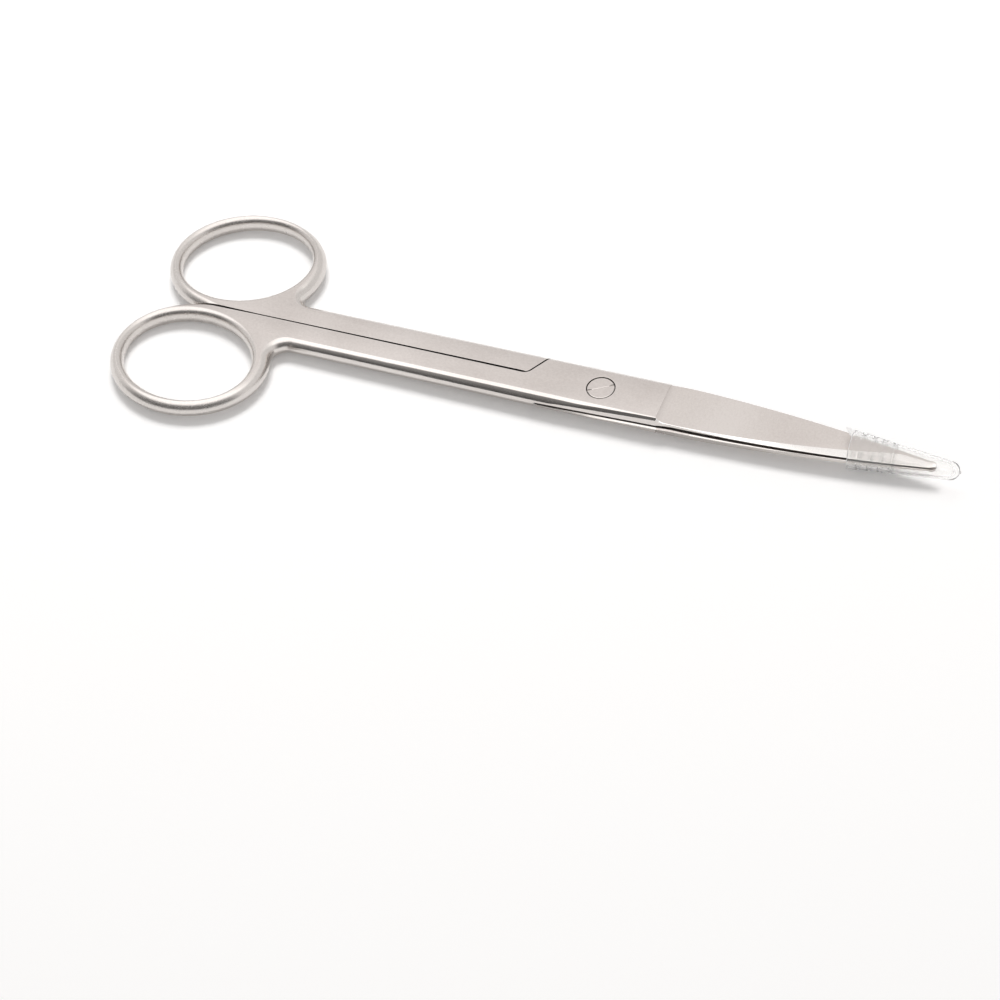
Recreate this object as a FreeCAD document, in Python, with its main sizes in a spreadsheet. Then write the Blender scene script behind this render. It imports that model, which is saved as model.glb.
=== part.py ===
# Surgical scissors, 144 mm long, closed, with a clear guard pushed onto the tips.
# Millimetres. +X runs from the pivot to the tips, +Y to the lower half's finger ring, +Z up.
# The origin is on the pivot axis, in the plane of the flat underside.
# Both halves are one forging: the lower one is the upper one turned over about the long axis.
import FreeCAD, Part
import math
import os
import Sketcher

doc = FreeCAD.newDocument("scissors")
Vec = FreeCAD.Vector

# Driving dimensions: alias, value, what it is
SIZES = [
    ("Thick", 3.6, "both halves together, at rings, shanks and joint"),
    ("LapGap", 0.08, "gap between the two lapped plates"),
    ("RingReach", 72.0, "pivot to finger ring centre"),
    ("RingLong", 14.65, "outer half length of a finger ring"),
    ("RingWide", 12.4, "outer half width of a finger ring"),
    ("RingTilt", 3.5, "turn of the ring's oval, degrees"),
    ("OvalJoin", 52.0, "slope at which the arcs of an oval meet, degrees"),
    ("RingMerge", 0.5, "how far the ring is ground flat where the two meet"),
    ("WebReach", 4.0, "flat between ring and slit, from the ring's centre"),
    ("RingWall", 2.6, "width of the ring's wall"),
    ("HoleBack", 0.3, "finger hole's centre, behind the ring's"),
    ("HoleOut", 0.35, "finger hole's centre, outwards of the ring's"),
    ("HoleTilt", 10.5, "turn of the finger hole's oval, degrees"),
    ("HoleBevelWide", 0.55, "bevel round the finger hole, on the flat"),
    ("HoleBevelDeep", 0.9, "bevel round the finger hole, down its wall"),
    ("ShankHalf", 4.95, "half width over both shanks"),
    ("SideRound", 1.2, "rounding along the outer sides"),
    ("NotchRound", 2.4, "inner corner between ring and shank"),
    ("SlitRing", 0.04, "half of the slit, where the rings meet"),
    ("SlitJoint", 0.2, "half of the slit, at the shoulder"),
    ("Shoulder", 13.2, "pivot to the shoulder, on the centre line"),
    ("ShoulderAngle", 59.0, "slant of the shoulder, degrees"),
    ("ShoulderRound", 1.8, "corner of the shoulder, at the slit"),
    ("ShoulderGap", 0.15, "gap between shoulder and plate"),
    ("FlankStart", 4.0, "pivot to where the sides start to be ground"),
    ("Flank", 11.0, "pivot to the blade's heel"),
    ("BladeReach", 57.0, "pivot to tip"),
    ("BladeHalf", 4.05, "half width of the blade at its heel"),
    ("TipHalf", 0.7, "half width of the blade just behind the tip"),
    ("TipRound", 1.1, "length of the rounded tip"),
    ("EdgeInset", 0.15, "cutting edge set in from the other blade's back"),
    ("SpineThick", 1.75, "blade thickness at heel, at the back"),
    ("EdgeThick", 0.85, "blade thickness at heel, at the cutting side"),
    ("TipThick", 0.38, "blade thickness at the tip"),
    ("HeelRun", 1.6, "length of the ramp from joint to blade, at the cutting side"),
    ("BevelAngle", 50.0, "cutting bevel, degrees from upright"),
    ("BevelRunIn", 6.5, "length over which the bevel grows at the heel"),
    ("HeadRadius", 2.36, "screw head"),
    ("HeadDepth", 0.8, "screw head"),
    ("JournalRadius", 1.5, "plain part of the screw, which the upper half turns on"),
    ("ThreadRadius", 1.25, "threaded part of the screw"),
    ("ScrewGap", 0.03, "running clearance round head and journal"),
    ("ThreadGap", 0.01, "clearance in the threaded hole"),
    ("SlotWidth", 0.4, "screwdriver slot"),
    ("SlotDepth", 0.45, "screwdriver slot"),
    ("SlotTurn", 31.5, "direction of the slot, degrees from the long axis"),
    ("GuardReach", 13.9, "how far the guard covers the blades"),
    ("GuardPast", 2.9, "guard's hollow past the tips"),
    ("GuardGap", 0.22, "guard's clearance from the blades at its mouth"),
    ("GuardTaper", 5.9, "slope of the guard's wall, degrees"),
    ("GuardWall", 0.5, "wall of the guard"),
    ("NoseWall", 0.95, "wall at the end of the guard"),
    ("GripCount", 4, "grip grooves round the guard"),
    ("GripPitch", 1.73, "grip groove to grip groove"),
    ("GripWidth", 0.4, "width of a grip groove"),
    ("GripDepth", 0.1, "depth of a grip groove"),
    ("NibRadius", 0.25, "moulding nib on the guard's nose"),
    ("NibLength", 0.2, "moulding nib on the guard's nose"),
]

sheet = doc.addObject("Spreadsheet::Sheet", "Sizes")
for row, (alias, value, words) in enumerate(SIZES, start=1):
    sheet.set("A%d" % row, alias)
    sheet.set("B%d" % row, str(value))
    sheet.set("C%d" % row, words)
    sheet.setAlias("B%d" % row, alias)
doc.recompute()
size = {alias: float(getattr(sheet, alias)) for alias, _, _ in SIZES}
BEYOND = 8.0  # how far a long cut reaches past the metal's ends
MARGIN = 1.0  # how far a cut reaches past its sides
TINY = 1e-6


def evaluate(expression):
    """The number behind an expression that is also bound to a sketch or a feature."""
    return float(sheet.evalExpression(expression.replace("Sizes.", "")))


def bind(thing, prop, expression):
    """Ties a property or a named constraint to the sheet."""
    thing.setExpression(prop, expression)


def origin_plane(body, role):
    return [f for f in body.Origin.OriginFeatures if f.Role == role][0]


def new_sketch(body, name, role, lift=None):
    """A sketch on one of the body's own origin planes, lifted off it along its normal."""
    sketch = body.newObject("Sketcher::SketchObject", name)
    sketch.AttachmentSupport = [(origin_plane(body, role), "")]
    sketch.MapMode = "FlatFace"
    if lift:
        bind(sketch, ".AttachmentOffset.Base.z", lift)
    return sketch


def place_point(sketch, geometry, vertex, name, x, y):
    """Holds a point at two expressions."""
    for letter, expression in (("X", x), ("Y", y)):
        constraint = Sketcher.Constraint("Distance" + letter, -1, 1, geometry, vertex, evaluate(expression))
        index = sketch.addConstraint(constraint)
        sketch.renameConstraint(index, name + letter)
        bind(sketch, "Constraints.%s%s" % (name, letter), expression)


def draw_outline(sketch, points):
    """A closed outline. A point is (x, y) or (x, y, radius, side): then an arc of that radius leads to the
    next point, bulging to the left (side 1) or right (side -1) of the way there."""
    spots = [Vec(evaluate(p[0]), evaluate(p[1]), 0) for p in points]
    count = len(points)
    ends = []
    for i, point in enumerate(points):
        start, end = spots[i], spots[(i + 1) % count]
        if len(point) == 2:
            index = sketch.addGeometry(Part.LineSegment(start, end), False)
            ends.append((index, 1, 2))
            continue
        radius, side = evaluate(point[2]), point[3]
        chord = end.sub(start)
        half = chord.Length / 2
        sagitta = radius - math.sqrt(max(radius * radius - half * half, 0))
        left = Vec(-chord.y, chord.x, 0).normalize()
        middle = start.add(chord.multiply(0.5)).add(left.multiply(side * sagitta))
        if side > 0:
            index = sketch.addGeometry(Part.Arc(end, middle, start), False)
            ends.append((index, 2, 1))
        else:
            index = sketch.addGeometry(Part.Arc(start, middle, end), False)
            ends.append((index, 1, 2))
        named = sketch.addConstraint(Sketcher.Constraint("Radius", index, radius))
        sketch.renameConstraint(named, "Bow%d" % i)
        bind(sketch, "Constraints.Bow%d" % i, point[2])
    for i, (index, first, last) in enumerate(ends):
        following = ends[(i + 1) % count]
        sketch.addConstraint(Sketcher.Constraint("Coincident", index, last, following[0], following[1]))
    for i, (index, first, last) in enumerate(ends):
        place_point(sketch, index, first, "P%d" % i, points[i][0], points[i][1])


def draw_circle(sketch, radius, name="Circle"):
    index = sketch.addGeometry(Part.Circle(Vec(0, 0, 0), Vec(0, 0, 1), evaluate(radius)), False)
    sketch.addConstraint(Sketcher.Constraint("Coincident", index, 3, -1, 1))
    sketch.renameConstraint(sketch.addConstraint(Sketcher.Constraint("Radius", index, evaluate(radius))), name)
    bind(sketch, "Constraints." + name, radius)


def draw_oval(sketch, half_length, half_width):
    """An oval of four arcs about the sketch's origin, long along its X. OvalJoin says where the arcs meet."""
    sine, cosine = "sin(Sizes.OvalJoin * 1deg)", "cos(Sizes.OvalJoin * 1deg)"
    apart = "((%s - %s) / (%s + %s - 1))" % (half_length, half_width, sine, cosine)
    end_bow = "(%s - %s * %s)" % (half_length, apart, cosine)
    side_bow = "(%s + %s * %s)" % (half_width, apart, sine)
    x = "(%s * %s + %s * %s)" % (apart, cosine, end_bow, cosine)
    y = "(%s * %s)" % (end_bow, sine)
    draw_outline(sketch, [(x, "-" + y, end_bow, -1), (x, y, side_bow, -1),
                          ("-" + x, y, end_bow, -1), ("-" + x, "-" + y, side_bow, -1)])


def add_pad(body, sketch, name, length, midplane=False, down=False):
    pad = body.newObject("PartDesign::Pad", name)
    pad.Profile = sketch
    bind(pad, "Length", length)
    pad.Midplane = midplane
    pad.Reversed = down
    return pad


def add_pocket(body, sketch, name, length=None, both=False, up=False, taper=None):
    """Cuts the sketch's outline into the metal, downwards unless up is set. It has to take metal away."""
    doc.recompute()
    before = body.Shape.Volume
    pocket = body.newObject("PartDesign::Pocket", name)
    pocket.Profile = sketch
    if length:
        bind(pocket, "Length", length)
    else:
        pocket.Type = "ThroughAll"
    pocket.Midplane = both
    pocket.Reversed = up
    if taper:
        bind(pocket, "TaperAngle", taper)
    doc.recompute()
    if not body.Shape.Volume < before - TINY:
        raise RuntimeError("%s took nothing away" % name)
    return pocket


def dress_edges(body, kind, name, sizes, wanted):
    """A fillet or chamfer on the edges that the given function picks. There has to be at least one."""
    doc.recompute()
    base = body.Tip
    picked = wanted(base.Shape)
    names = ["Edge%d" % (i + 1) for i, edge in enumerate(base.Shape.Edges)
             if any(edge.isSame(other) for other in picked)]
    if not names:
        raise RuntimeError("%s found no edge" % name)
    dressed = body.newObject("PartDesign::" + kind, name)
    dressed.Base = (base, names)
    for prop, expression in sizes.items():
        bind(dressed, prop, expression)
    doc.recompute()
    return dressed


# Places worked out from the driving dimensions, in a half's own frame: its lapped face is at about z = 0
TOP = "Sizes.Thick / 2"
LAP = "Sizes.LapGap / 2"
RING_Y = "-(Sizes.RingWide - Sizes.RingMerge)"
FAR_LEFT = "-(Sizes.RingReach + Sizes.RingLong + %s)" % BEYOND
FAR_RIGHT = "(Sizes.BladeReach + %s)" % BEYOND
OUTSIDE = "(Sizes.ShankHalf + %s)" % MARGIN
SHOULDER_COS = "cos(Sizes.ShoulderAngle * 1deg)"
SHOULDER_SIN = "sin(Sizes.ShoulderAngle * 1deg)"
SHOULDER_TAN = "tan(Sizes.ShoulderAngle * 1deg)"
HALF_TURN = "tan(Sizes.ShoulderAngle * 0.5deg)"
EDGE_HALF = "(Sizes.BladeHalf - Sizes.EdgeInset)"
EDGE_TIP = "(Sizes.TipHalf - Sizes.EdgeInset)"
EDGE_START = "(Sizes.Flank + Sizes.HeelRun)"
TIP_START = "(Sizes.BladeReach - Sizes.TipRound)"


def bow_radius(length, fall):
    """Radius of an arc that starts level and falls by that much over that length."""
    return "(((%s)^2 + (%s)^2) / (2 * (%s)))" % (length, fall, fall)


def bow_fall(radius, length):
    """How far that arc has fallen after a length."""
    return "(%s - sqrt(%s^2 - (%s)^2))" % (radius, radius, length)


SPINE_BOW = bow_radius(TIP_START + " - Sizes.Flank", "Sizes.BladeHalf - Sizes.TipHalf")
EDGE_BOW = bow_radius(TIP_START + " - " + EDGE_START, EDGE_HALF + " - " + EDGE_TIP)

# The ground flat of the blade: a plane that falls towards the tip and towards the cutting side
SLOPE_X = ("((2 * Sizes.TipThick - Sizes.EdgeThick - Sizes.SpineThick)"
           " / (2 * (Sizes.BladeReach - Sizes.Flank) - Sizes.HeelRun))")
SLOPE_Y = "((Sizes.SpineThick - Sizes.EdgeThick + Sizes.HeelRun * %s) / (2 * Sizes.BladeHalf))" % SLOPE_X
RAMP = "((%s - Sizes.EdgeThick) / Sizes.HeelRun)" % TOP


def ground_height(x, y):
    return "(Sizes.TipThick + %s * (%s - Sizes.BladeReach) + %s * (%s))" % (SLOPE_X, x, SLOPE_Y, y)


def knee_x(y):
    """Where the ramp at the heel meets the ground flat."""
    return "(Sizes.Flank + (%s - %s) / (%s + %s))" % (TOP, ground_height("Sizes.Flank", y), RAMP, SLOPE_X)


def make_ring(body):
    """The finger ring with its web and shank: an oval, and a bar as wide as both shanks."""
    ring = new_sketch(body, "RingOutline", "XY_Plane")
    place_oval(ring, "-Sizes.RingReach", RING_Y, "-Sizes.RingTilt")
    draw_oval(ring, "Sizes.RingLong", "Sizes.RingWide")
    add_pad(body, ring, "Ring", "Sizes.Thick", midplane=True)
    bar = new_sketch(body, "BarOutline", "XY_Plane")
    left = "-(Sizes.RingReach + Sizes.WebReach)"
    draw_outline(bar, [(left, "-Sizes.ShankHalf"), ("Sizes.Flank", "-Sizes.ShankHalf"),
                       ("Sizes.Flank", "Sizes.ShankHalf"), (left, "Sizes.ShankHalf")])
    add_pad(body, bar, "Bar", "Sizes.Thick", midplane=True)
    hole = new_sketch(body, "FingerHoleOutline", "XY_Plane")
    place_oval(hole, "-(Sizes.RingReach + Sizes.HoleBack)", RING_Y + " - Sizes.HoleOut", "-Sizes.HoleTilt")
    draw_oval(hole, "(Sizes.RingLong - Sizes.RingWall)", "(Sizes.RingWide - Sizes.RingWall)")
    add_pocket(body, hole, "FingerHole", both=True)


def place_oval(sketch, x, y, turn):
    bind(sketch, ".AttachmentOffset.Base.x", x)
    bind(sketch, ".AttachmentOffset.Base.y", y)
    bind(sketch, ".AttachmentOffset.Rotation.Angle", turn)


def flat_side_edges(shape, round_hole):
    """Edges of the flat top and underside: those round the finger hole, or the outer ones that run lengthwise."""
    edges = []
    for face in shape.Faces:
        if face.BoundBox.ZLength < TINY:
            for wire in face.Wires:
                if wire.isSame(face.OuterWire) != round_hole:
                    edges += wire.Edges
    return [edge for edge in edges if edge.BoundBox.XLength > TINY]


def round_outside(body):
    """The inner corner between ring and shank, one rounding along all outer sides, and a bevelled finger hole."""
    near = -size["ShankHalf"]

    def notch(edge):
        box = edge.BoundBox
        return box.XLength + box.YLength < TINY and abs(box.YMin - near) < TINY and box.XMin < -size["Shoulder"]

    dress_edges(body, "Fillet", "Notch", {"Radius": "Sizes.NotchRound"},
                lambda shape: [edge for edge in shape.Edges if notch(edge)])
    dress_edges(body, "Fillet", "SideRounding", {"Radius": "Sizes.SideRound"},
                lambda shape: flat_side_edges(shape, False))
    bevel = dress_edges(body, "Chamfer", "HoleBevel", {"Size": "Sizes.HoleBevelWide", "Size2": "Sizes.HoleBevelDeep"},
                        lambda shape: flat_side_edges(shape, True))
    bevel.ChamferType = "Two distances"
    doc.recompute()


def cut_slit(body):
    """Takes away what the other half's ring and shank fill, up to the slanting shoulder."""
    lead = "Sizes.ShoulderRound * " + HALF_TURN
    corner = "(-Sizes.Shoulder + Sizes.ShoulderGap / 2 / %s - Sizes.SlitJoint / %s)" % (SHOULDER_SIN, SHOULDER_TAN)
    rise = "(%s + Sizes.SlitJoint)" % OUTSIDE
    slit = new_sketch(body, "SlitOutline", "XY_Plane")
    draw_outline(slit, [
        (FAR_LEFT, "-Sizes.SlitRing"),
        ("%s - %s" % (corner, lead), "-Sizes.SlitJoint", "Sizes.ShoulderRound", -1),
        ("%s + %s * %s" % (corner, lead, SHOULDER_COS), "-Sizes.SlitJoint + %s * %s" % (lead, SHOULDER_SIN)),
        ("%s + %s / %s" % (corner, rise, SHOULDER_TAN), OUTSIDE),
        (FAR_LEFT, OUTSIDE)])
    add_pocket(body, slit, "Slit", both=True)


def cut_lap(body):
    """Leaves half the thickness past the shoulder, where the other half's plate lies."""
    corner = "(-Sizes.Shoulder - Sizes.ShoulderGap / 2 / %s)" % SHOULDER_SIN
    rounding = "(Sizes.ShoulderRound - Sizes.ShoulderGap)"
    lead = "%s * %s" % (rounding, HALF_TURN)
    lap = new_sketch(body, "LapOutline", "XY_Plane", lift=LAP)
    draw_outline(lap, [
        ("%s - %s" % (corner, lead), "0", rounding, 1),
        ("%s + %s * %s" % (corner, lead, SHOULDER_COS), "-%s * %s" % (lead, SHOULDER_SIN)),
        ("%s + %s / %s" % (corner, OUTSIDE, SHOULDER_TAN), "-" + OUTSIDE),
        (FAR_RIGHT, "-" + OUTSIDE), (FAR_RIGHT, OUTSIDE), ("%s - %s" % (corner, lead), OUTSIDE)])
    add_pocket(body, lap, "Lap")


def grind_sides(body):
    """Narrows the joint towards the blade's heel, which grinds its rounded sides away."""
    for side, name, heel in ((1, "Back", "Sizes.BladeHalf"), (-1, "Edge", EDGE_HALF)):
        sign = "" if side > 0 else "-"
        sketch = new_sketch(body, name + "SideOutline", "XY_Plane")
        points = [("Sizes.FlankStart", sign + "Sizes.ShankHalf"), ("Sizes.Flank", sign + heel),
                  ("Sizes.Flank + %s" % MARGIN, sign + heel), ("Sizes.Flank + %s" % MARGIN, sign + OUTSIDE),
                  ("Sizes.FlankStart", sign + OUTSIDE)]
        draw_outline(sketch, points)
        add_pocket(body, sketch, name + "SideGrind", both=True)


def make_blade(body):
    """The blade: bowed back and bowed cutting edge, then the ground flat and the cutting bevel."""
    plan = new_sketch(body, "BladeOutline", "XY_Plane", lift=LAP)
    tip_bow = bow_radius("Sizes.TipHalf", "Sizes.TipRound")
    draw_outline(plan, [
        ("Sizes.Flank", "-" + EDGE_HALF), ("Sizes.Flank", "Sizes.BladeHalf", SPINE_BOW, 1),
        (TIP_START, "Sizes.TipHalf", tip_bow, 1), ("Sizes.BladeReach", "0"),
        (TIP_START, "-" + EDGE_TIP, EDGE_BOW, 1), (EDGE_START, "-" + EDGE_HALF)])
    add_pad(body, plan, "Blade", "%s - %s" % (TOP, LAP))

    profiles = []
    for name, side in (("EdgeSideGround", -1), ("BackSideGround", 1)):
        y = "(%d * (Sizes.BladeHalf + %s))" % (side, MARGIN)
        sketch = new_sketch(body, name, "XZ_Plane", lift="-" + y)
        ceiling = "%s + %s" % (TOP, MARGIN)
        draw_outline(sketch, [
            ("Sizes.Flank - %s / %s" % (MARGIN, RAMP), ceiling),
            (knee_x(y), ground_height(knee_x(y), y)),
            (FAR_RIGHT, ground_height(FAR_RIGHT, y)),
            (FAR_RIGHT, ceiling)])
        profiles.append(sketch)
    add_loft_cut(body, "FlatGrind", profiles)

    # The bevel starts at the heel's upper edge and runs in until it takes the whole wall away
    profiles = []
    slant = "tan(Sizes.BevelAngle * 1deg)"
    rise = "(%s + %s - %s)" % (TOP, MARGIN, LAP)
    run_end = "(%s + Sizes.BevelRunIn)" % EDGE_START
    fall = bow_fall(EDGE_BOW, "Sizes.BevelRunIn")
    aside = "((Sizes.EdgeThick - %s) * %s)" % (LAP, slant)
    for name, share in (("EdgeLine", 0), ("BevelTop", 1)):
        shift = "(%d * %s * %s)" % (share, rise, slant)
        sketch = new_sketch(body, name, "XY_Plane", lift="%s + %d * %s" % (LAP, share, rise))
        draw_outline(sketch, [
            (TIP_START, "-%s + %s" % (EDGE_TIP, shift), EDGE_BOW, 1),
            (run_end, "-%s + %s + %s" % (EDGE_HALF, fall, shift)),
            (EDGE_START, "-%s - %s + %s" % (EDGE_HALF, aside, shift)),
            (EDGE_START, "-" + OUTSIDE),
            (TIP_START, "-" + OUTSIDE)])
        profiles.append(sketch)
    add_loft_cut(body, "Bevel", profiles)


def add_loft_cut(body, name, profiles):
    doc.recompute()
    before = body.Shape.Volume
    loft = body.newObject("PartDesign::SubtractiveLoft", name)
    loft.Profile = profiles[0]
    loft.Sections = profiles[1:]
    loft.Ruled = True
    doc.recompute()
    if not body.Shape.Volume < before - TINY:
        raise RuntimeError("%s took nothing away" % name)
    return loft


def bore(body, name, radius, lift=None, depth=None, up=False):
    sketch = new_sketch(body, name + "Circle", "XY_Plane", lift=lift)
    draw_circle(sketch, radius)
    add_pocket(body, sketch, name, length=depth, both=depth is None, up=up)


def make_half(name):
    body = doc.addObject("PartDesign::Body", name)
    body.Label = name
    make_ring(body)
    round_outside(body)
    cut_slit(body)
    cut_lap(body)
    grind_sides(body)
    make_blade(body)
    bind(body, ".Placement.Base.z", TOP)
    return body


upper = make_half("upper_half")
bore(upper, "JournalBore", "Sizes.JournalRadius + Sizes.ScrewGap")
bore(upper, "HeadSeat", "Sizes.HeadRadius + Sizes.ScrewGap", lift=TOP, depth="Sizes.HeadDepth + Sizes.ScrewGap")
lower = make_half("lower_half")
bore(lower, "ThreadedHole", "Sizes.ThreadRadius + Sizes.ThreadGap")
lower.Placement.Rotation = FreeCAD.Rotation(Vec(1, 0, 0), 180)


def make_screw():
    """Turned from bar: head flush with the upper half, plain journal, thread flush with the underside."""
    body = doc.addObject("PartDesign::Body", "pivot_screw")
    body.Label = "pivot_screw"
    profile = new_sketch(body, "TurnedProfile", "XZ_Plane")
    seat = "%s - %s" % (TOP, LAP)
    under_head = "Sizes.Thick - Sizes.HeadDepth"
    draw_outline(profile, [
        ("0", "0"), ("Sizes.ThreadRadius", "0"), ("Sizes.ThreadRadius", seat), ("Sizes.JournalRadius", seat),
        ("Sizes.JournalRadius", under_head), ("Sizes.HeadRadius", under_head), ("Sizes.HeadRadius", "Sizes.Thick"),
        ("0", "Sizes.Thick")])
    turn(body, profile, "Turned", "V_Axis")
    slot = new_sketch(body, "SlotOutline", "XY_Plane", lift="Sizes.Thick")
    bind(slot, ".AttachmentOffset.Rotation.Angle", "Sizes.SlotTurn")
    long, half = "(Sizes.HeadRadius + %s)" % MARGIN, "Sizes.SlotWidth / 2"
    draw_outline(slot, [("-" + long, "-" + half), (long, "-" + half), (long, half), ("-" + long, half)])
    add_pocket(body, slot, "Slot", length="Sizes.SlotDepth")
    return body


def turn(body, profile, name, axis):
    revolution = body.newObject("PartDesign::Revolution", name)
    revolution.Profile = profile
    revolution.ReferenceAxis = (profile, [axis])
    revolution.Angle = 360
    doc.recompute()
    return revolution


def make_guard():
    """A thin clear cap, moulded round, with grip grooves near its mouth and a moulding nib on its nose."""
    body = doc.addObject("PartDesign::Body", "tip_guard")
    body.Label = "tip_guard"
    start = "(Sizes.BladeReach - Sizes.GuardReach)"
    back_y = "(Sizes.BladeHalf - %s)" % bow_fall(SPINE_BOW, start + " - Sizes.Flank")
    back_z = ground_height(start, back_y)
    inner = "(sqrt(%s^2 + %s^2) + Sizes.GuardGap)" % (back_y, back_z)
    outer = "(%s + Sizes.GuardWall)" % inner
    hollow = "(Sizes.GuardReach + Sizes.GuardPast)"
    whole = "(%s + Sizes.NoseWall)" % hollow
    slope = "tan(Sizes.GuardTaper * 1deg)"
    sine, cosine = "sin(Sizes.GuardTaper * 1deg)", "cos(Sizes.GuardTaper * 1deg)"

    def nose_radius(mouth, length):
        """The ball that ends a cone of that mouth and length."""
        return "((%s - %s * %s) / (%s - %s * (1 - %s)))" % (mouth, slope, length, cosine, slope, sine)

    points = [("0", inner), ("0", outer)]
    for i in range(int(size["GripCount"])):
        middle = "(%d * Sizes.GripPitch)" % (i + 1)
        for part, depth in ((-1, 0), (0, 1), (1, 0)):
            x = "(%s + %d * Sizes.GripWidth / 2)" % (middle, part)
            points.append((x, "%s - %s * %s - %d * Sizes.GripDepth" % (outer, slope, x, depth)))
    ball, bore_ball = nose_radius(outer, whole), nose_radius(inner, hollow)
    nib_root = "(%s - %s + sqrt(%s^2 - Sizes.NibRadius^2))" % (whole, ball, ball)
    nib_end = "(%s + Sizes.NibLength)" % whole
    points += [
        ("%s - %s * (1 - %s)" % (whole, ball, sine), "%s * %s" % (ball, cosine), ball, 1),
        (nib_root, "Sizes.NibRadius"), (nib_end, "Sizes.NibRadius"), (nib_end, "0"),
        (hollow, "0", bore_ball, -1),
        ("%s - %s * (1 - %s)" % (hollow, bore_ball, sine), "%s * %s" % (bore_ball, cosine))]
    profile = new_sketch(body, "GuardProfile", "XY_Plane")
    draw_outline(profile, points)
    turn(body, profile, "Moulded", "H_Axis")
    bind(body, ".Placement.Base.x", start)
    bind(body, ".Placement.Base.z", TOP)
    return body


pieces = [upper, lower, make_screw(), make_guard()]
doc.recompute()

for thing in doc.Objects:
    if "Invalid" in thing.State or "Error" in thing.State:
        raise RuntimeError("%s failed: %s" % (thing.Name, thing.State))
os.makedirs("parts", exist_ok=True)
for piece in pieces:
    if piece.Shape.isNull() or not piece.Shape.isValid():
        raise RuntimeError("%s has no valid shape" % piece.Label)
for piece in pieces:
    piece.Shape.exportStep("parts/%s.step" % piece.Label)
    box = piece.Shape.optimalBoundingBox(True, False)
    spans = (box.XMin, box.XMax, box.YMin, box.YMax, box.ZMin, box.ZMax)
    print(piece.Label, len(piece.Shape.Solids), "solid, volume %.1f," % piece.Shape.Volume,
          "x %.2f to %.2f, y %.2f to %.2f, z %.2f to %.2f" % spans)
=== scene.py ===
# Straight surgical scissors of satin steel, closed, with a clear guard pushed onto the tips
import math

import bpy
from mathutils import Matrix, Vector


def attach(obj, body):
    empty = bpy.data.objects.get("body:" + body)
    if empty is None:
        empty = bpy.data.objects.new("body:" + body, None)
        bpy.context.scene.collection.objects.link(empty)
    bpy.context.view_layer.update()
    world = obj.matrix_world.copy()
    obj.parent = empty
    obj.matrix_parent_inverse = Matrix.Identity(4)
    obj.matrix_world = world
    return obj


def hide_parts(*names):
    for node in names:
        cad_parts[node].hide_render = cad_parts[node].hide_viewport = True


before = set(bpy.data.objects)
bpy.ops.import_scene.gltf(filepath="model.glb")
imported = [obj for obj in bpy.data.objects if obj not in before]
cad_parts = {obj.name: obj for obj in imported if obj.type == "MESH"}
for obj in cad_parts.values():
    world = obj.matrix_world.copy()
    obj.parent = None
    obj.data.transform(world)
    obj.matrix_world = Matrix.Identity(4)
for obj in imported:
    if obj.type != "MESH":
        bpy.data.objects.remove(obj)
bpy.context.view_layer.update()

# Pieces are modelled in millimetres about the halves' middle plane and shrunk to metres at the end
MM = 0.001
TOP = 1.8
LAP = 0.21

# Cutters reach this far above and below the middle plane, and this far past the sides that they cut
CUT_TALL = 4.0
CUT_PAST = 2.0

# Side rounding of rings and shanks: an upright oval, a little pointed at the parting line, that the
# flat faces cut short
SIDE_DEEP = 1.46
SIDE_TALL = 1.83
SIDE_POWER = 1.7
HOLE_DEEP = 1.38
HOLE_TALL = 1.84
SHANK_HALF = 4.95

# Outline of the handle: the notch beside the ring, the ring's knots in degrees, and the web that rises
# to the shank
NOTCH_ROUND = 2.4
RING_STOPS = (-35, -90, -135, -180, -225, -243)
RING_EASE = 5.0
RISE_X = -46.0
RISE_EASE = 8.0
BAR_PAST = 4.0

# Shoulder and slit. The slit is widest between the rings and narrowest where they part
SHOULDER_X = -13.2
SHOULDER_SLANT = math.radians(59)
SHOULDER_ROUND = 1.8
SHOULDER_GAP = 0.26
SLIT_FAR_X = -100.0
SLIT_END_X = -78.0
SLIT_END = 0.3
SLIT_RING_X = -64.0
SLIT_RING = 0.11
SLIT_JOINT = 0.2
LAP_PAST = 6.0

# Joint: steep ground walls that close in towards the heel, their eased upper edge, and the bright ledge
GRIND_START = -10.0
GRIND_LEAD = 2.0
GRIND_END = 3.0
GRIND_FALL = 0.034
GRIND_SLANT = 0.11
EASE_START = -6.0
EASE_FOOT = 5.21
EASE_FALL = 0.0177
EASE_SLANT = 0.625
LEDGE = 0.3
LEDGE_LONG = 0.4
LEDGE_SLANT = math.radians(38)
LEDGE_LEAD = 3.0
LEDGE_PAST = 0.3
FLANK = 11.0
UPPER_BORE = 1.53
LOWER_BORE = 1.26
BORE_TALL = 3.0
SEAT_RADIUS = 2.47
SEAT_DEEP = 0.83

# Blade: its outline, thicknesses, cutting bevel and ledge
BLADE_HALF = 4.05
BACK_EASE = 0.12
BACK_EASE_RUN = 7.0
EDGE_HALF = 3.9
EDGE_START = 12.6
TIP_START = 55.9
TIP_X = 57.0
TIP_HALF = 0.7
EDGE_TIP = 0.55
SPINE_THICK = 1.75
EDGE_THICK = 0.85
TIP_THICK = 0.38
THINNEST = 0.02
BEVEL_SLANT = math.tan(math.radians(47))
BEVEL_HEEL = 0.1
BEVEL_WIDE = 1.3
BEVEL_FULL_X = 42.0
BEVEL_POWER = 1.5
BEVEL_MOST = 0.75
EDGE_LEAST = 0.03
LEDGE_END = 34.0
BACK_CHAMFER = 0.1
LEDGE_RISE = 0.146
LEDGE_REACH = 0.215
BLADE_SET = 0.3
BOW_POWER = 1.3
TIP_SET = 0.15
BLADE_STEPS = 44
TIP_SHARES = (0.2, 0.4, 0.6, 0.75, 0.87, 0.95, 1.0)

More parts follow.
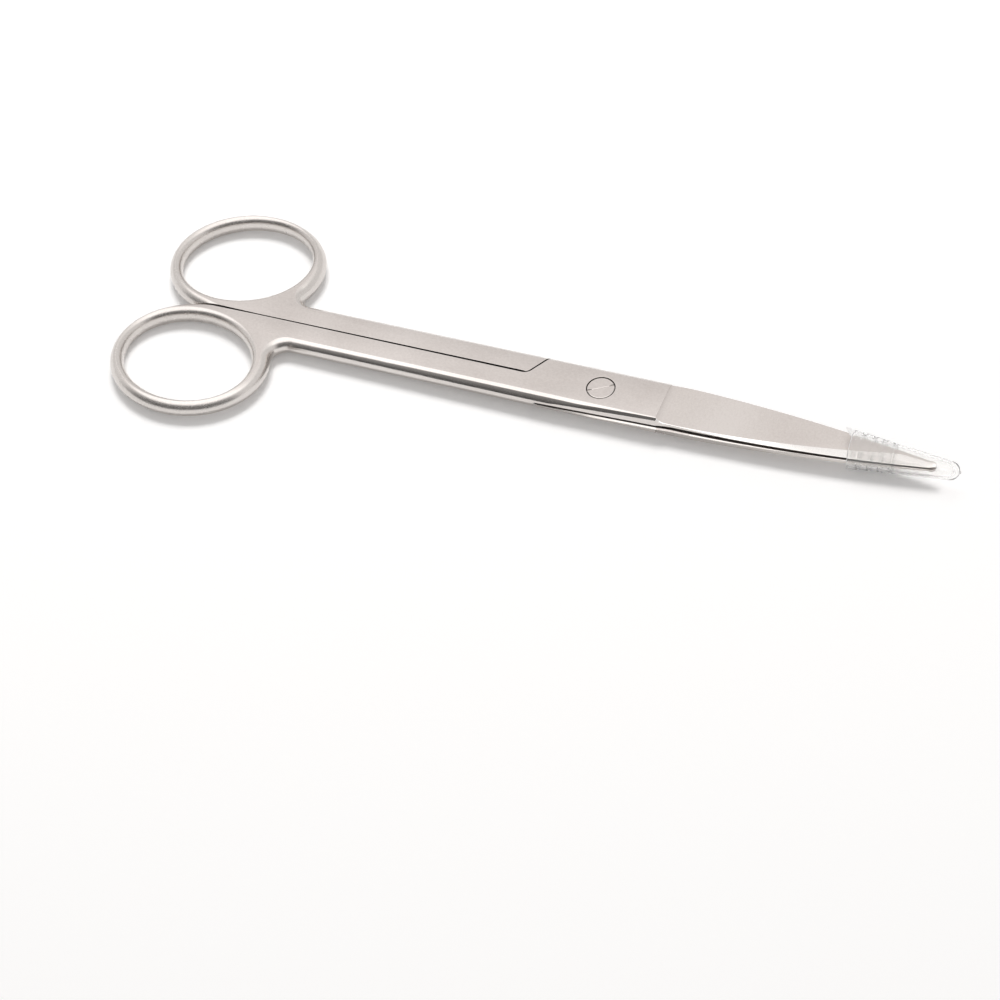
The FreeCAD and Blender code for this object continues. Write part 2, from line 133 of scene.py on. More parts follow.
# Heel: the blade's root inside the joint, the small step at the joint's end, and the hollow in front of it
ROOT_DEEP = 0.6
ROOT_INSET = 0.2
ROOT_STEP = 0.3
SEAM_BEFORE = 0.09
SEAM_AFTER = 0.03
HEEL_RUN = 1.3
HEEL_BLEND = 3.0
HEEL_STEP = 0.06
HEEL_INSET = 0.012
HEEL_TOP_Y = 3.86
HEEL_LEDGE_RISE = 0.24
HEEL_LEDGE_WIDE = 0.32
HOLLOW_POWER = 1.6
BLEND_POWER = 1.5
HEEL_SHARES = (0.12, 0.25, 0.4, 0.6, 0.8, 1, 1.3, 1.6, 2, 2.3)

# Sharp edges are broken by this much
EDGE_SOFT = 0.035
EDGE_ANGLE = math.radians(38)
SMOOTH_ANGLE = math.radians(12)

# Screw
END_RADIUS = 1.15
THREAD_OUTER = 1.24
THREAD_ROOT = 1.08
THREAD_PITCH = 0.36
THREAD_COUNT = 4
JOURNAL_RADIUS = 1.49
HEAD_UNDER = 2.3
HEAD_RADIUS = 2.31
HEAD_FOOT = 2.6
SLOT_TURN = math.radians(31.5)
SLOT_FLOOR = 0.04
SLOT_PAST = 0.1

# How finely round things are made
HOLE_SIDES = 192
HOLE_STEPS = 12
ROUND_SIDES = 96


def only(thing):
    """Leaves just this object selected and active."""
    bpy.ops.object.select_all(action="DESELECT")
    thing.select_set(True)
    bpy.context.view_layer.objects.active = thing


def edit(thing):
    only(thing)
    bpy.ops.object.mode_set(mode="EDIT")


def leave():
    bpy.ops.object.mode_set(mode="OBJECT")


def apply_place(thing):
    only(thing)
    bpy.ops.object.transform_apply(location=True, rotation=True, scale=True)


def close_mesh(thing):
    """Merges doubles and turns all faces outwards."""
    edit(thing)
    bpy.ops.mesh.select_all(action="SELECT")
    bpy.ops.mesh.remove_doubles(threshold=0.0005)
    bpy.ops.mesh.normals_make_consistent(inside=False)
    leave()


def cut_away(thing, tool):
    """Cuts the tool away from the thing, and removes the tool."""
    modifier = thing.modifiers.new("Cut", "BOOLEAN")
    modifier.operation = "DIFFERENCE"
    modifier.solver = "EXACT"
    modifier.object = tool
    only(thing)
    bpy.ops.object.modifier_apply(modifier=modifier.name)
    bpy.data.objects.remove(tool)


def join_in(thing, part):
    """Joins a part that starts inside or against the thing into the same mesh."""
    only(thing)
    part.select_set(True)
    bpy.ops.object.join()


def corner(x, y):
    """A sharp knot of an outline."""
    return Vector((x, y)), Vector((x, y)), Vector((x, y))


def draw_outline(name, knots, low, high, rounding=0.0):
    """A closed outline of knots, each a point with its two handles, filled and thickened.
    With a rounding its sides bulge by that much, as half an oval from low to high."""
    bpy.ops.curve.primitive_bezier_curve_add(location=(0, 0, 0))
    drawn = bpy.context.object
    drawn.name = name
    data = drawn.data
    data.dimensions = "2D"
    data.fill_mode = "BOTH"
    data.resolution_u = 24
    spline = data.splines[0]
    spline.bezier_points.add(len(knots) - 2)
    spline.use_cyclic_u = True
    for point, (place, before, after) in zip(spline.bezier_points, knots):
        point.handle_left_type = point.handle_right_type = "FREE"
        point.co = place.to_3d()
        point.handle_left = before.to_3d()
        point.handle_right = after.to_3d()
    if rounding:
        data.bevel_depth = rounding
        data.offset = -rounding
        data.bevel_resolution = 10
        drawn.scale.z = (high - low) / 2 / rounding
    else:
        data.extrude = (high - low) / 2
    drawn.location.z = (high + low) / 2
    only(drawn)
    bpy.ops.object.convert(target="MESH")
    drawn = bpy.context.object
    apply_place(drawn)
    close_mesh(drawn)
    if rounding:
        for vertex in drawn.data.vertices:
            height = min(abs(vertex.co.z) / high, 1)
            outward = math.sqrt(1 - height * height)
            pointed = high * (1 - outward ** SIDE_POWER) ** (1 / SIDE_POWER)
            vertex.co.z = math.copysign(pointed, vertex.co.z)
    return drawn


class Oval:
    """An oval about a centre, turned by an angle in degrees."""

    def __init__(self, x, y, half_length, half_width, turn):
        self.centre = Vector((x, y))
        self.half_length = half_length
        self.half_width = half_width
        self.turn = math.radians(turn)

    def turned(self, x, y):
        cos, sin = math.cos(self.turn), math.sin(self.turn)
        return Vector((x * cos - y * sin, x * sin + y * cos))

    def point(self, angle):
        along, across = self.half_length * math.cos(angle), self.half_width * math.sin(angle)
        return self.centre + self.turned(along, across)

    def slope(self, angle):
        return self.turned(-self.half_length * math.sin(angle), self.half_width * math.cos(angle))

    def knot(self, angle, before, after):
        """A knot on the way round clockwise, with the angles to the knots before and after it."""
        place, slope = self.point(angle), self.slope(angle)
        back = slope * 4 / 3 * math.tan(before / 4)
        forth = slope * 4 / 3 * math.tan(after / 4)
        return place, place + back, place - forth


def notch_angle(oval):
    """Where the notch's corner circle touches the ring, found by halving."""
    low, high = math.radians(-30), math.radians(70)
    for _ in range(40):
        angle = (low + high) / 2
        slope = oval.slope(angle)
        centre = oval.point(angle) + Vector((slope.y, -slope.x)).normalized() * NOTCH_ROUND
        if centre.y > -SHANK_HALF - NOTCH_ROUND:
            high = angle
        else:
            low = angle
    return angle, centre


def handle_outline(ring):
    """Ring, notch and a bar as wide as both shanks, past the blade's heel."""
    end = FLANK + BAR_PAST
    touch, centre = notch_angle(ring)
    start = Vector((centre.x, -SHANK_HALF))
    to_ring = ring.point(touch) - centre
    sweep = Vector((0, 1)).angle(to_ring)
    reach = 4 / 3 * math.tan(sweep / 4) * NOTCH_ROUND
    backwards = ring.slope(touch).normalized() * reach
    stops = [touch] + [math.radians(stop) for stop in RING_STOPS]
    knots = [corner(end, -SHANK_HALF), (start, start, start + Vector((-reach, 0)))]
    for i, angle in enumerate(stops):
        before = stops[i - 1] - angle if i else 0
        after = angle - stops[i + 1] if i < len(stops) - 1 else 0
        place, back, forth = ring.knot(angle, before, after)
        if i == 0:
            back = place + backwards
        if i == len(stops) - 1:
            forth = place - ring.slope(angle).normalized() * RING_EASE
        knots.append((place, back, forth))
    rise = Vector((RISE_X, SHANK_HALF))
    knots.append((rise, rise - Vector((RISE_EASE, 0)), rise))
    knots.append(corner(end, SHANK_HALF))
    return knots


def slice_off(thing, place, direction):
    """Cuts flat and closes the cut, dropping what lies in that direction."""
    edit(thing)
    bpy.ops.mesh.select_all(action="SELECT")
    bpy.ops.mesh.bisect(plane_co=place, plane_no=direction, use_fill=True, clear_outer=True, threshold=1e-5)
    leave()


def round_ring(height, radius):
    return height, radius, radius


def grow(name, rings, count):
    """A solid grown ring by ring along Z. A ring is (height, half length, half width)."""
    bpy.ops.mesh.primitive_circle_add(vertices=count, radius=1, fill_type="NGON", location=(0, 0, 0))
    grown = bpy.context.object
    grown.name = name
    edit(grown)
    last_height, last_long, last_wide = 0.0, 1.0, 1.0
    for i, (height, longer, wider) in enumerate(rings):
        if i:
            bpy.ops.mesh.extrude_region_move()
        bpy.ops.transform.translate(value=(0, 0, height - last_height))
        bpy.ops.transform.resize(value=(longer / last_long, wider / last_wide, 1), center_override=(0, 0, 0))
        last_height, last_long, last_wide = height, longer, wider
    leave()
    return grown


def make_spool(name, oval, deep, tall):
    """The hole's cutter: narrowest at mid height, flaring by a quarter oval to both ends."""
    rings = []
    for i in range(2 * HOLE_STEPS + 1):
        height = -tall * math.cos(math.pi * i / (2 * HOLE_STEPS))
        flare = deep * (1 - math.sqrt(max(1 - (height / tall) ** 2, 0)))
        rings.append((height, oval.half_length + flare, oval.half_width + flare))
    spool = grow(name, rings, HOLE_SIDES)
    spool.rotation_euler.z = oval.turn
    spool.location = oval.centre.to_3d()
    apply_place(spool)
    close_mesh(spool)
    return spool


def shoulder_arc(corner_x, corner_y, radius):
    """Two knots round the shoulder's corner, from the level line to the slanting one."""
    lead = radius * math.tan(SHOULDER_SLANT / 2)
    reach = 4 / 3 * math.tan(SHOULDER_SLANT / 4) * radius
    level, slant = Vector((1, 0)), Vector((math.cos(SHOULDER_SLANT), math.sin(SHOULDER_SLANT)))
    place = Vector((corner_x, corner_y))
    first, last = place - level * lead, place + slant * lead
    return (first, first, first + level * reach), (last, last - slant * reach, last)


def cut_slit(half):
    """Frees the space of the other half's ring and shank, up to the slanting shoulder."""
    sine, tangent = math.sin(SHOULDER_SLANT), math.tan(SHOULDER_SLANT)
    corner_x = SHOULDER_X + SHOULDER_GAP / 2 / sine - SLIT_JOINT / tangent
    first, last = shoulder_arc(corner_x, -SLIT_JOINT, SHOULDER_ROUND)
    far = SHANK_HALF + CUT_PAST
    knots = [corner(SLIT_END_X, -SLIT_END), corner(SLIT_RING_X, -SLIT_RING), first, last,
             corner(corner_x + (far + SLIT_JOINT) / tangent, far), corner(SLIT_FAR_X, far),
             corner(SLIT_FAR_X, -SLIT_END)]
    cut_away(half, draw_outline("slit", knots, -CUT_TALL, CUT_TALL))


def cut_lap(half):
    """Leaves half the thickness where the other half's plate lies."""
    sine, tangent = math.sin(SHOULDER_SLANT), math.tan(SHOULDER_SLANT)
    corner_x = SHOULDER_X - SHOULDER_GAP / 2 / sine
    radius = SHOULDER_ROUND - SHOULDER_GAP
    first, last = shoulder_arc(corner_x, 0, radius)
    mirrored = [tuple(Vector((spot.x, -spot.y)) for spot in knot) for knot in (first, last)]
    far = SHANK_HALF + CUT_PAST
    end = FLANK + LAP_PAST
    knots = [mirrored[0], mirrored[1], corner(corner_x + far / tangent, -far), corner(end, -far),
             corner(end, far), corner(mirrored[0][0].x, far)]
    cut_away(half, draw_outline("lap", knots, -CUT_TALL, LAP))


def cut_prism(half, first_x, last_x, corner_at):
    """Cuts a bar away that runs along X, its corners found for each end."""
    sections = [[(x, y, z) for y, z in corner_at(x)] for x in (first_x, last_x)]
    cut_away(half, extrude_sections("prism", sections))


def grind_sides(half):
    """Grinds the joint's sides to steep walls with an eased upper edge, closing in on the blade's heel.
    The side that lies below the other plate stands out as a narrow bright ledge."""
    far = SHANK_HALF + 2 * CUT_PAST
    end = FLANK + GRIND_END
    for side, start, lead, foot, fall, slant in (
            (1, GRIND_START, 0, SHANK_HALF + LEDGE, GRIND_FALL, GRIND_SLANT),
            (-1, GRIND_START, GRIND_LEAD, SHANK_HALF, GRIND_FALL, GRIND_SLANT),
            (-1, EASE_START, GRIND_LEAD, EASE_FOOT, EASE_FALL, EASE_SLANT)):
        def wall(x):
            there = foot - fall * (x - start)
            lean = CUT_TALL * slant
            return [(side * (there + lean), -CUT_TALL), (side * (there - lean), CUT_TALL),
                    (side * far, CUT_TALL), (side * far, -CUT_TALL)]
        cut_prism(half, start - lead, end, wall)

    def ledge_corner(x):
        outer = SHANK_HALF - GRIND_FALL * (x - GRIND_START) + LEDGE
        along, rise = math.cos(LEDGE_SLANT), math.sin(LEDGE_SLANT)
        inner = outer - LEDGE_LONG * along
        past = LEDGE_PAST
        return [(inner - past * along, LAP - past * rise),
                (outer + past * along, LAP + (LEDGE_LONG + past) * rise),
                (outer + past * along, LAP - past * rise)]
    cut_prism(half, GRIND_START - LEDGE_LEAD, end, ledge_corner)


def bow_fall(length, whole, fall):
    """How far an arc that starts level has fallen after a length, if it falls so much over the whole."""
    radius = (whole * whole + fall * fall) / (2 * fall)
    return radius - math.sqrt(radius * radius - length * length)


SLOPE_X = (2 * TIP_THICK - EDGE_THICK - SPINE_THICK) / (2 * (TIP_X - FLANK) - HEEL_RUN)
SLOPE_Y = (SPINE_THICK - EDGE_THICK + HEEL_RUN * SLOPE_X) / (2 * BLADE_HALF)


def ground_height(x, y):
    """The blade's ground face, with the wheel's hollow where it leaves the joint's flat."""
    plain = TIP_THICK + SLOPE_X * (x - TIP_X) + SLOPE_Y * y
    left = max(1 - (x - FLANK) / HEEL_RUN, 0)
    return plain + (TOP - HEEL_STEP - plain) * left ** HOLLOW_POWER


def blade_widths(x):
    """Half widths at the back and at the cutting edge."""
    if x > TIP_START:
        radius = (TIP_HALF ** 2 + (TIP_X - TIP_START) ** 2) / (2 * (TIP_X - TIP_START))
        back = math.sqrt(max(radius ** 2 - (x - TIP_X + radius) ** 2, 0))
        return max(back, THINNEST), max(EDGE_TIP * (TIP_X - x) / (TIP_X - TIP_START), THINNEST)
    back = BLADE_HALF - bow_fall(x - FLANK, TIP_START - FLANK, BLADE_HALF - TIP_HALF)
    back -= BACK_EASE * max(1 - (x - FLANK) / BACK_EASE_RUN, 0) ** 2
    run = max(x - EDGE_START, 0)
    return back, EDGE_HALF - bow_fall(run, TIP_START - EDGE_START, EDGE_HALF - EDGE_TIP)


def inner_height(x):
    """The blades' inner sides are bowed apart a little, and close in at the tips."""
    share = max(x - FLANK, 0) / (TIP_X - FLANK)
    return (LAP + HEEL_STEP + BLADE_SET * share) * (1 - share ** BOW_POWER) + TIP_SET * share


def bevel_width(x):
    """How wide the cutting bevel is, seen from above."""
    back, edge = blade_widths(x)
    share = max(x - EDGE_START, 0) / (BEVEL_FULL_X - EDGE_START)
    return min(BEVEL_HEEL + BEVEL_WIDE * share ** BEVEL_POWER, (back + edge) * BEVEL_MOST)


def blade_section(x):
    """Six corners: edge below, edge above, top of the bevel, back above, and the ledge's two.
    The bevel widens towards the tip, where the ledge runs out."""
    back, edge = blade_widths(x)
    inside = inner_height(x)
    ridge_y = bevel_width(x) - edge
    ridge = ground_height(x, ridge_y)
    base = max(inside + EDGE_LEAST, ridge - bevel_width(x) / BEVEL_SLANT)
    left = min(max((LEDGE_END - x) / (LEDGE_END - FLANK), 0), 1)
    outer = back + LEDGE * left
    deep = min(BACK_CHAMFER + LEDGE_RISE * left, TIP_THICK / 3)
    wide = BACK_CHAMFER + LEDGE_REACH * left
    return [(x, -edge, inside), (x, -edge, base), (x, ridge_y, ridge), (x, back, ground_height(x, back)),
            (x, outer, inside + deep), (x, outer - wide, inside)]


def heel_section(x, inset, step):
    """The joint's section, smaller by the inset and lower by the step, as it runs on into the blade."""
    foot = SHANK_HALF - GRIND_FALL * (x - GRIND_START)
    eased = EASE_FOOT - EASE_FALL * (x - EASE_START)
    meet = (eased - foot) / (EASE_SLANT - GRIND_SLANT)
    top = TOP - step
    return [(x, inset - foot, LAP + inset), (x, inset + GRIND_SLANT * meet - foot, meet),
            (x, inset + EASE_SLANT * top - eased, top), (x, HEEL_TOP_Y - inset, top),
            (x, foot + LEDGE - inset, LAP + HEEL_LEDGE_RISE),
            (x, foot + LEDGE - HEEL_LEDGE_WIDE - inset, LAP + inset)]


def make_blade():
    """Extruded section by section from the root to the tip: hollow, ground flat and cutting bevel."""
    sections = [heel_section(FLANK - ROOT_DEEP, ROOT_INSET, ROOT_STEP),
                heel_section(FLANK - SEAM_BEFORE, HEEL_INSET, HEEL_STEP),
                heel_section(FLANK + SEAM_AFTER, HEEL_INSET, HEEL_STEP)]
    for share in HEEL_SHARES:
        x = FLANK + HEEL_RUN * share
        left = max(1 - (x - FLANK) / HEEL_BLEND, 0) ** BLEND_POWER
        section = []
        for plain, heel in zip(blade_section(x), heel_section(x, HEEL_INSET, HEEL_STEP)):
            section.append((x, plain[1] + (heel[1] - plain[1]) * left, plain[2]))
        sections.append(section)
    first_x = sections[-1][0][0]
    for i in range(1, BLADE_STEPS + 1):
        sections.append(blade_section(first_x + (TIP_START - first_x) * i / BLADE_STEPS))
    for share in TIP_SHARES:
        sections.append(blade_section(TIP_START + (TIP_X - TIP_START) * share))
    return extrude_sections("blade", sections)


def extrude_sections(name, sections):
    """A solid grown from its first section, extruded to each following one."""
    bpy.ops.mesh.primitive_circle_add(vertices=len(sections[0]), radius=1, fill_type="NGON",
                                      location=(0, 0, 0))
    solid = bpy.context.object
    solid.name = name
    for vertex, place in zip(solid.data.vertices, sections[0]):
        vertex.co = place
    for last, following in zip(sections, sections[1:]):
        edit(solid)
        bpy.ops.mesh.extrude_region_move()
        leave()
        for vertex in solid.data.vertices:
            if vertex.select:
                nearest = min(range(len(last)), key=lambda i: (vertex.co - Vector(last[i])).length)
                vertex.co = following[nearest]
    close_mesh(solid)
    return solid


def bore(half, radius, low, high):
    """A round hole about the pivot."""
    bpy.ops.mesh.primitive_cylinder_add(vertices=ROUND_SIDES, radius=radius, depth=high - low,
                                        location=(0, 0, (low + high) / 2))
    tool = bpy.context.object
    apply_place(tool)
    cut_away(half, tool)


def make_half(name, ring, hole):
    """Ring, shank and plate of one half, up to the blade's heel."""
    half = draw_outline(name, handle_outline(ring), -SIDE_TALL, SIDE_TALL, rounding=SIDE_DEEP)
    slice_off(half, (0, 0, TOP), (0, 0, 1))
    slice_off(half, (0, 0, -TOP), (0, 0, -1))
    slice_off(half, (FLANK, 0, 0), (1, 0, 0))
    cut_away(half, make_spool("hole", hole, HOLE_DEEP, HOLE_TALL))
    cut_slit(half)
    cut_lap(half)
    grind_sides(half)
    return half


def soften_edges(half):
    """Breaks the sharp edges a little, so that they catch the light."""
    edit(half)
    bpy.ops.mesh.select_all(action="SELECT")
    bpy.ops.mesh.remove_doubles(threshold=0.015)
    bpy.ops.mesh.dissolve_limited(angle_limit=math.radians(0.2))
    leave()
    modifier = half.modifiers.new("Soften", "BEVEL")
    modifier.width = EDGE_SOFT
    modifier.segments = 2
    modifier.limit_method = "ANGLE"
    modifier.angle_limit = EDGE_ANGLE
    modifier.use_clamp_overlap = False
    only(half)
    bpy.ops.object.modifier_apply(modifier=modifier.name)


def finish_piece(thing, turn=0.0):
    """Turns the piece over where needed, lifts it to its place and shrinks it to metres."""
    thing.rotation_euler.x = turn
    thing.location.z = TOP
    apply_place(thing)
    thing.scale = (MM, MM, MM)
    apply_place(thing)
    only(thing)
    bpy.ops.object.shade_smooth_by_angle(angle=SMOOTH_ANGLE)


def paint_faces(thing, materials, chooser):
    """Gives each face the material that the chooser names for its place."""
    for material in materials:
        thing.data.materials.append(material)
    for face in thing.data.polygons:
        face.material_index = chooser(face)


def node(tree, kind, inputs=None, **settings):
    """Adds a node, sets it up and fills its inputs by value or by link."""
    made = tree.nodes.new(kind)
    for key, value in settings.items():
        setattr(made, key, value)
    for key, value in (inputs or {}).items():
        if isinstance(value, bpy.types.NodeSocket):
            tree.links.new(value, made.inputs[key])
        else:
            made.inputs[key].default_value = value
    return made


def new_material(name):
    material = bpy.data.materials.new(name)
    material.use_nodes = True
    tree = material.node_tree
    tree.nodes.clear()
    shader = node(tree, "ShaderNodeBsdfPrincipled")
    output = node(tree, "ShaderNodeOutputMaterial")
    tree.links.new(shader.outputs["BSDF"], output.inputs["Surface"])
    return material, tree, shader


def stretched(tree, scale, turn=0.0):
    """Object coordinates in millimetres, turned about Z and scaled per axis."""
    place = node(tree, "ShaderNodeTexCoord")
    return node(tree, "ShaderNodeMapping", {"Vector": place.outputs["Object"], "Rotation": (0, 0, turn),
                                            "Scale": tuple(1000 * part for part in scale)}).outputs["Vector"]


def noise(tree, vector, scale, detail=3.0, roughness=0.55):
    return node(tree, "ShaderNodeTexNoise", {"Vector": vector, "Scale": scale, "Detail": detail,
                                             "Roughness": roughness}).outputs["Fac"]


def ramp(tree, value, stops):
    """A colour ramp with (position, colour) stops."""
    made = node(tree, "ShaderNodeValToRGB", {"Fac": value})
    elements = made.color_ramp.elements
    for i, (position, colour) in enumerate(stops):
        element = elements[i] if i < 2 else elements.new(position)
        element.position = position
        element.color = (*colour, 1)
    return made.outputs["Color"]


def mapped(tree, value, source, target):
    """Maps a value from one range to another, and holds it at both ends."""
    return node(tree, "ShaderNodeMapRange", {"Value": value, "From Min": source[0], "From Max": source[1],
                                             "To Min": target[0], "To Max": target[1]}).outputs["Result"]


def either(tree, one, two):
    """The larger of two values."""
    return node(tree, "ShaderNodeMath", {0: one, 1: two}, operation="MAXIMUM").outputs[0]


def blended(tree, share, low, high):
    """From the low value to the high one by the share."""
    return node(tree, "ShaderNodeMix", {0: share, 2: low, 3: high}, data_type="FLOAT").outputs[0]


def added(tree, one, two, share):
    """One value plus a share of the other."""
    scaled = node(tree, "ShaderNodeMath", {0: two, 1: share}, operation="MULTIPLY").outputs[0]
    return node(tree, "ShaderNodeMath", {0: one, 1: scaled}, operation="ADD").outputs[0]


def steel(name, dark, light, rough, grain, grain_turn, grain_height, wave_height, ring_rough=0.0):
    """Steel with a tone that drifts and speckles, ground grain along one direction and slight waves.
    With ring_rough the finger rings are duller than the shanks."""
    material, tree, shader = new_material(name)
    shader.inputs["Metallic"].default_value = 1.0
    plain = stretched(tree, (1, 1, 1))
    lines = noise(tree, stretched(tree, grain, grain_turn), 1.0, detail=4, roughness=0.7)
    speckle = noise(tree, plain, 3.2, detail=2)
    drift = noise(tree, plain, 0.07, detail=1)
    fine_tone = node(tree, "ShaderNodeMath", {0: lines, 1: speckle}, operation="ADD").outputs[0]
    tone = mapped(tree, added(tree, drift, fine_tone, 0.7), (0.9, 1.5), (0.0, 1.0))
    tree.links.new(ramp(tree, tone, [(0.0, dark), (1.0, light)]), shader.inputs["Base Color"])
    smudge = noise(tree, plain, 0.6, detail=2)
    dulled = mapped(tree, added(tree, smudge, lines, 1.0), (0.75, 1.25), rough)
    if ring_rough:
        along = node(tree, "ShaderNodeSeparateXYZ", {"Vector": plain}).outputs["X"]
        dulled = added(tree, dulled, mapped(tree, along, DULL_RINGS, (ring_rough, 0.0)), 1.0)
    tree.links.new(dulled, shader.inputs["Roughness"])
    waves = noise(tree, plain, 0.35, detail=1)
    bumped = node(tree, "ShaderNodeBump", {"Height": waves, "Distance": wave_height * MM, "Strength": 1.0})
    fine = node(tree, "ShaderNodeBump", {"Height": lines, "Distance": grain_height * MM, "Strength": 1.0,
                                         "Normal": bumped.outputs["Normal"]})
    tree.links.new(fine.outputs["Normal"], shader.inputs["Normal"])
    return material


# The rings lose their extra dullness between these places along X
DULL_RINGS = (-62.0, -48.0)

satin = steel("satin_flat", dark=(0.58, 0.535, 0.51), light=(0.7, 0.655, 0.63), rough=(0.34, 0.44),
              grain=(1.5, 7, 7), grain_turn=math.radians(-35), grain_height=0.01, wave_height=0.008)
polished = steel("polished_side", dark=(0.62, 0.585, 0.56), light=(0.7, 0.665, 0.64), rough=(0.09, 0.16),
                 grain=(0.5, 7, 7), grain_turn=0.0, grain_height=0.002, wave_height=0.03, ring_rough=0.13)
ground = steel("ground_blade", dark=(0.54, 0.495, 0.47), light=(0.64, 0.6, 0.575), rough=(0.3, 0.4),
               grain=(7, 1.2, 7), grain_turn=math.radians(14), grain_height=0.008, wave_height=0.008)
# Painted highlight: the bevel's steel is lighter than the other steels so that it shows bright; its low
# roughness and fine grain are its real honed finish
edge_polish_and_highlight = steel("bevel_polish_and_painted_highlight", dark=(0.76, 0.74, 0.72), light=(0.84, 0.82, 0.8), rough=(0.12, 0.2),
              grain=(9, 1, 9), grain_turn=0.0, grain_height=0.001, wave_height=0.01)
# Painted shade: a steel far darker than the rest, for the walls of the pivot's bore and of the seat round
# the screw head, and for the screw below its head, which lie in shade
bore_shade = steel("bore_wall_painted_shade", dark=(0.2, 0.18, 0.17), light=(0.3, 0.28, 0.26), rough=(0.35, 0.5),
              grain=(5, 5, 5), grain_turn=0.0, grain_height=0.002, wave_height=0.001)

# Places in a half's list of finishes, and how far a face's normal points up or down where each begins
SATIN, POLISHED, GROUND, EDGE_POLISH_AND_HIGHLIGHT, BORE_SHADE = range(5)
# Walls nearer the pivot than this, in millimetres, get the painted shade
BORE_SHADE_WITHIN = 2.5
FLAT_FACE = 0.995
INNER_FACE = 0.9
WALL_FACE = 0.5
SLANT_FACE = 0.3
NEARLY = 0.02


def half_finish(face):
    """Satin on the flats, polish on the sides, ground grain on blade and lap, the honed bevel lightened as a
    painted highlight, and painted shade on the walls round the pivot.
    """
    x, y, z = (part / MM for part in face.center)
    upright = abs(face.normal.z)
    outside = (z - TOP) * face.normal.z > 0 and abs(z - TOP) > inner_height(x) + NEARLY
    # The walls round the pivot get the dark steel of painted shade
    if math.hypot(x, y) < BORE_SHADE_WITHIN and upright < WALL_FACE:
        return BORE_SHADE
    if x < FLANK + NEARLY:
        if upright < FLAT_FACE:
            return POLISHED
        return SATIN if outside else GROUND
    if outside and upright > SLANT_FACE:
        # The honed bevel gets the lighter steel that paints its highlight
        bevel_top = bevel_width(x) - blade_widths(x)[1]
        on_bevel = math.copysign(1, face.normal.z) * y < bevel_top - NEARLY
        return EDGE_POLISH_AND_HIGHLIGHT if on_bevel else GROUND
    return GROUND if upright > INNER_FACE else POLISHED


# Each ring was dressed by hand, so the two differ a little
near_ring = Oval(-71.95, -11.82, 14.66, 12.46, -4.5)
near_hole = Oval(-72.3, -12.15, 12.2, 9.65, -12.5)
far_ring = Oval(-72.1, -11.95, 14.5, 12.35, -2.2)
far_hole = Oval(-72.35, -12.3, 12.0, 9.85, -8.0)

upper = make_half("upper_steel", near_ring, near_hole)
bore(upper, UPPER_BORE, -BORE_TALL, BORE_TALL)
bore(upper, SEAT_RADIUS, TOP - SEAT_DEEP, TOP + 1)
lower = make_half("lower_steel", far_ring, far_hole)
bore(lower, LOWER_BORE, -BORE_TALL, BORE_TALL)
for half in (upper, lower):
    join_in(half, make_blade())
    soften_edges(half)
finish_piece(upper)
finish_piece(lower, turn=math.pi)
for half in (upper, lower):
    paint_faces(half, [satin, polished, ground, edge_polish_and_highlight, bore_shade], half_finish)
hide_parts("upper_half")
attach(upper, "upper")
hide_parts("lower_half")
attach(lower, "lower")


def make_slot():
    """The slot's cutter: deep at both ends and nearly closed up in the middle."""
    sections = []
    for x, half_wide, deep in ((-3, 0.3, 0.3), (-2, 0.26, 0.22), (-1.5, 0.2, 0.04), (0, 0.22, 0.03),
                               (1.4, 0.2, 0.04), (1.9, 0.26, 0.22), (3, 0.3, 0.3)):
        sections.append([(x, -half_wide, TOP + SLOT_PAST), (x, -SLOT_FLOOR, TOP - deep),
                         (x, SLOT_FLOOR, TOP - deep), (x, half_wide, TOP + SLOT_PAST)])
    return extrude_sections("slot", sections)


def make_screw():
    """Turned screw: end face, thread, plain journal, and a flush head with a broken edge and a slot."""
    rings = [round_ring(-TOP, END_RADIUS), round_ring(-TOP + 0.08, THREAD_OUTER)]
    for i in range(THREAD_COUNT):
        foot = -TOP + 0.2 + THREAD_PITCH * i
        rings += [round_ring(foot, THREAD_OUTER), round_ring(foot + 0.12, THREAD_ROOT),
                  round_ring(foot + 0.2, THREAD_ROOT), round_ring(foot + 0.32, THREAD_OUTER)]
    rings += [round_ring(-0.04, THREAD_OUTER), round_ring(-0.03, JOURNAL_RADIUS),
              round_ring(TOP - 0.8, JOURNAL_RADIUS), round_ring(TOP - 0.79, HEAD_UNDER),
              round_ring(TOP - 0.7, HEAD_RADIUS), round_ring(TOP - 0.13, HEAD_RADIUS),
              round_ring(TOP - 0.05, HEAD_RADIUS - 0.03), round_ring(TOP, HEAD_RADIUS - 0.11)]
    screw = grow("slotted_screw", rings, ROUND_SIDES)
    close_mesh(screw)
    slot = make_slot()
    slot.rotation_euler.z = SLOT_TURN
    apply_place(slot)
    cut_away(screw, slot)
    return screw


def screw_finish(face):
    """Places in the screw's list: satin on top, polish on the head's side, and below the head a dark steel
    that is painted shade.
    """
    if face.center.z < HEAD_FOOT * MM:
        return 2
    return 0 if face.normal.z > 0.99 else 1


screw = make_screw()
finish_piece(screw)
paint_faces(screw, [satin, polished, bore_shade], screw_finish)
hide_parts("pivot_screw")
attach(screw, "lower")

